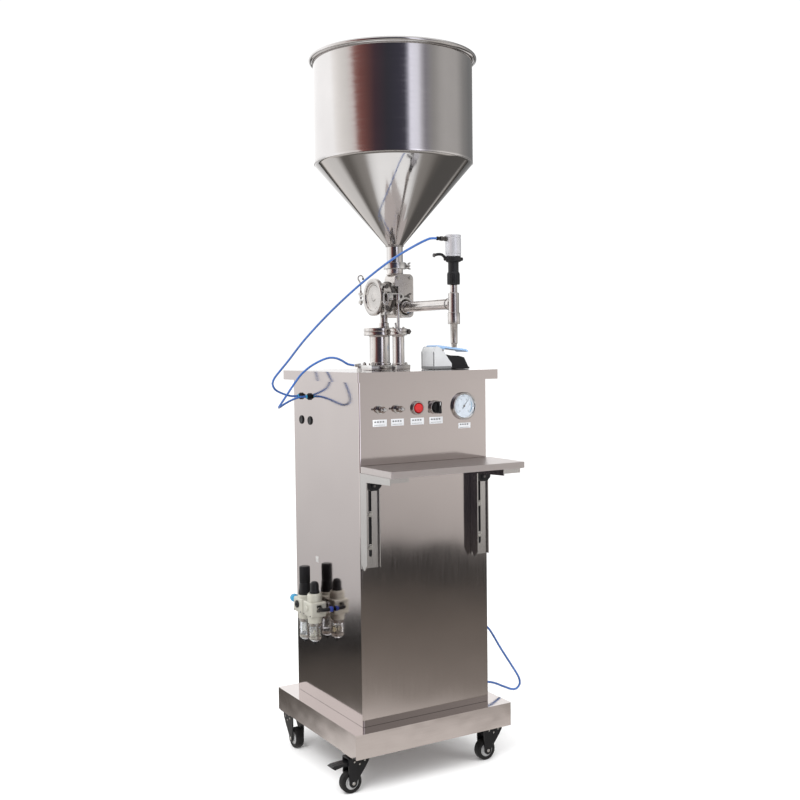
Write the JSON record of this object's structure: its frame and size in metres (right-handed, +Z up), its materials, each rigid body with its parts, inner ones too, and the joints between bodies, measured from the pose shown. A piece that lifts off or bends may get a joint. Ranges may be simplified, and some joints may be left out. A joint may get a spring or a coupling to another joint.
{
  "type": "piston liquid filler",
  "caption": "Pneumatic single-nozzle piston filler: conical hopper over a rotary valve, metering cylinder and nozzle on a wheeled sheet-metal cabinet with a shelf and controls.",
  "frame": {"origin": "on the floor, under the middle of the machine's bounding box without its hoses", "axes": "+Z up, the front with the controls and nozzle towards -Y, +X to the right of someone facing the front"},
  "size_m": [0.5438, 0.4943, 1.6174],
  "materials": {
    "brushed_stainless": "satin",
    "polished_stainless": "polished",
    "bright_metal": "polished",
    "aluminium": "satin",
    "cast_alloy": "satin",
    "black_plastic": "matte",
    "clear_bowl": "gloss",
    "blue_fitting": "gloss",
    "red_plastic": "gloss",
    "grey_plastic": "satin",
    "pedal_blue": "satin",
    "black_steel": "satin",
    "wheel_tread": "matte",
    "blue_hose": "gloss"
  },
  "bodies": {
    "machine": {"cabinet_shell": "brushed_stainless", "back_panel": "brushed_stainless", "top_plate": "brushed_stainless", "plinth": "polished_stainless", "hopper": "polished_stainless", "hopper_clamp": "polished_stainless", "valve_body": "polished_stainless", "valve_end_clamp": "polished_stainless", "metering_cylinder": "polished_stainless", "valve_actuator": "polished_stainless", "outlet_pipe": "polished_stainless", "nozzle_body": "polished_stainless", "plate_fitting": "polished_stainless", "button_bezel": "bright_metal", "selector_bezel": "bright_metal", "speed_valve_left": "bright_metal", "speed_valve_right": "bright_metal", "nozzle_hose_fitting": "bright_metal", "drive_cylinder": "aluminium", "nozzle_air_cylinder": "aluminium", "filter_body": "cast_alloy", "lubricator_body": "cast_alloy", "nozzle_coupling": "black_plastic", "bulkhead_left_rear": "black_plastic", "bulkhead_left_front": "black_plastic", "bulkhead_right_upper": "black_plastic", "bulkhead_right_lower": "black_plastic", "gauge_case": "black_plastic", "filter_bowl": "clear_bowl", "lubricator_bowl": "clear_bowl", "air_inlet_fitting": "blue_fitting", "foot_valve_base": "grey_plastic", "hose_nozzle": "blue_hose", "hose_plate": "blue_hose", "hose_side": "blue_hose"},
    "metering_plunger": {"metering_piston": "bright_metal"},
    "valve_plug": {"valve_rotor": "bright_metal"},
    "actuator_plunger": {"valve_actuator_rod": "bright_metal"},
    "nozzle_needle": {"nozzle_rod": "bright_metal"},
    "push_button": {"button_cap": "red_plastic"},
    "selector": {"selector_knob": "black_plastic"},
    "lever_left": {"speed_lever_left": "bright_metal"},
    "lever_right": {"speed_lever_right": "bright_metal"},
    "needle": {"gauge_needle": "red_plastic"},
    "pressure_knob": {"regulator_knob": "black_plastic"},
    "pedal": {"foot_pedal": "pedal_blue"},
    "shelf_slide": {"shelf": "brushed_stainless", "bracket_left": "brushed_stainless", "bracket_right": "brushed_stainless"},
    "clamp_knob_left": {"shelf_knob_left": "black_plastic"},
    "clamp_knob_right": {"shelf_knob_right": "black_plastic"},
    "caster_front_left": {"caster_fork_front_left": "black_steel"},
    "wheel_front_left": {"caster_wheel_front_left": "wheel_tread"},
    "caster_front_right": {"caster_fork_front_right": "black_steel"},
    "wheel_front_right": {"caster_wheel_front_right": "wheel_tread"},
    "caster_rear_left": {"caster_fork_rear_left": "black_steel"},
    "wheel_rear_left": {"caster_wheel_rear_left": "wheel_tread"},
    "caster_rear_right": {"caster_fork_rear_right": "black_steel"},
    "wheel_rear_right": {"caster_wheel_rear_right": "wheel_tread"},
    "brake": {"brake_pedal": "black_steel"}
  },
  "joints": [
    {"name": "metering_stroke", "type": "slide", "parent": "machine", "child": "metering_plunger", "axis": [0, 0, 1], "range_m": [0, 0.055]},
    {"name": "actuator_stroke", "type": "slide", "parent": "machine", "child": "actuator_plunger", "axis": [0, 0, 1], "range_m": [-0.0175, 0.0175]},
    {"name": "valve_turn", "type": "hinge", "parent": "machine", "child": "valve_plug", "pos_m": [-0.0133, -0.0112, 1.072], "axis": [0, -1, 0], "range_deg": [-45, 45]},
    {"name": "nozzle_lift", "type": "slide", "parent": "machine", "child": "nozzle_needle", "axis": [0, 0, 1], "range_m": [0, 0.01]},
    {"name": "button_press", "type": "slide", "parent": "machine", "child": "push_button", "axis": [0, 1, 0], "range_m": [0, 0.0035], "stiffness_N_per_m": 300},
    {"name": "selector_turn", "type": "hinge", "parent": "machine", "child": "selector", "pos_m": [0.0432, -0.1117, 0.824], "axis": [0, -1, 0], "range_deg": [-45, 45]},
    {"name": "speed_left_turn", "type": "hinge", "parent": "machine", "child": "lever_left", "pos_m": [-0.0973, -0.1117, 0.824], "axis": [0, -1, 0], "range_deg": [0, 90]},
    {"name": "speed_right_turn", "type": "hinge", "parent": "machine", "child": "lever_right", "pos_m": [-0.0533, -0.1117, 0.824], "axis": [0, -1, 0], "range_deg": [0, 90]},
    {"name": "gauge_reading", "type": "hinge", "parent": "machine", "child": "needle", "pos_m": [0.1187, -0.1117, 0.824], "axis": [0, 1, 0], "range_deg": [-173, 97]},
    {"name": "pressure_turn", "type": "hinge", "parent": "machine", "child": "pressure_knob", "pos_m": [-0.1768, 0.1078, 0.4186], "axis": [0, 0, 1], "range_deg": [-180, 180]},
    {"name": "pedal_press", "type": "hinge", "parent": "machine", "child": "pedal", "pos_m": [0.1167, -0.0057, 0.9498], "axis": [0, 1, 0], "range_deg": [0, 6], "stiffness_Nm_per_rad": 2},
    {"name": "shelf_height", "type": "slide", "parent": "machine", "child": "shelf_slide", "axis": [0, 0, 1], "range_m": [-0.04, 0.012]},
    {"name": "clamp_turn_left", "type": "hinge", "parent": "shelf_slide", "child": "clamp_knob_left", "pos_m": [-0.1263, -0.1146, 0.664], "axis": [0, -1, 0], "continuous": true},
    {"name": "clamp_turn_right", "type": "hinge", "parent": "shelf_slide", "child": "clamp_knob_right", "pos_m": [0.1582, -0.1146, 0.664], "axis": [0, -1, 0], "continuous": true},
    {"name": "swivel_front_left", "type": "hinge", "parent": "machine", "child": "caster_front_left", "pos_m": [-0.1598, -0.1007, 0.079], "axis": [0, 0, 1], "continuous": true},
    {"name": "roll_front_left", "type": "hinge", "parent": "caster_front_left", "child": "wheel_front_left", "pos_m": [-0.1758, -0.1007, 0.024], "axis": [0, 1, 0], "continuous": true},
    {"name": "swivel_front_right", "type": "hinge", "parent": "machine", "child": "caster_front_right", "pos_m": [0.1932, -0.1007, 0.079], "axis": [0, 0, 1], "continuous": true},
    {"name": "roll_front_right", "type": "hinge", "parent": "caster_front_right", "child": "wheel_front_right", "pos_m": [0.1772, -0.1007, 0.024], "axis": [0, 1, 0], "continuous": true},
    {"name": "swivel_rear_left", "type": "hinge", "parent": "machine", "child": "caster_rear_left", "pos_m": [-0.1598, 0.2193, 0.079], "axis": [0, 0, 1], "continuous": true},
    {"name": "roll_rear_left", "type": "hinge", "parent": "caster_rear_left", "child": "wheel_rear_left", "pos_m": [-0.1598, 0.2033, 0.024], "axis": [1, 0, 0], "continuous": true},
    {"name": "swivel_rear_right", "type": "hinge", "parent": "machine", "child": "caster_rear_right", "pos_m": [0.1932, 0.2193, 0.079], "axis": [0, 0, 1], "continuous": true},
    {"name": "roll_rear_right", "type": "hinge", "parent": "caster_rear_right", "child": "wheel_rear_right", "pos_m": [0.1932, 0.2033, 0.024], "axis": [1, 0, 0], "continuous": true},
    {"name": "brake_press", "type": "hinge", "parent": "caster_front_left", "child": "brake", "pos_m": [-0.1758, -0.1007, 0.0655], "axis": [0, -1, 0], "range_deg": [0, 12]}
  ],
  "couplings": [
    {"joint": "valve_turn", "follows": "actuator_stroke", "rad_per_m": 44.88}
  ]
}
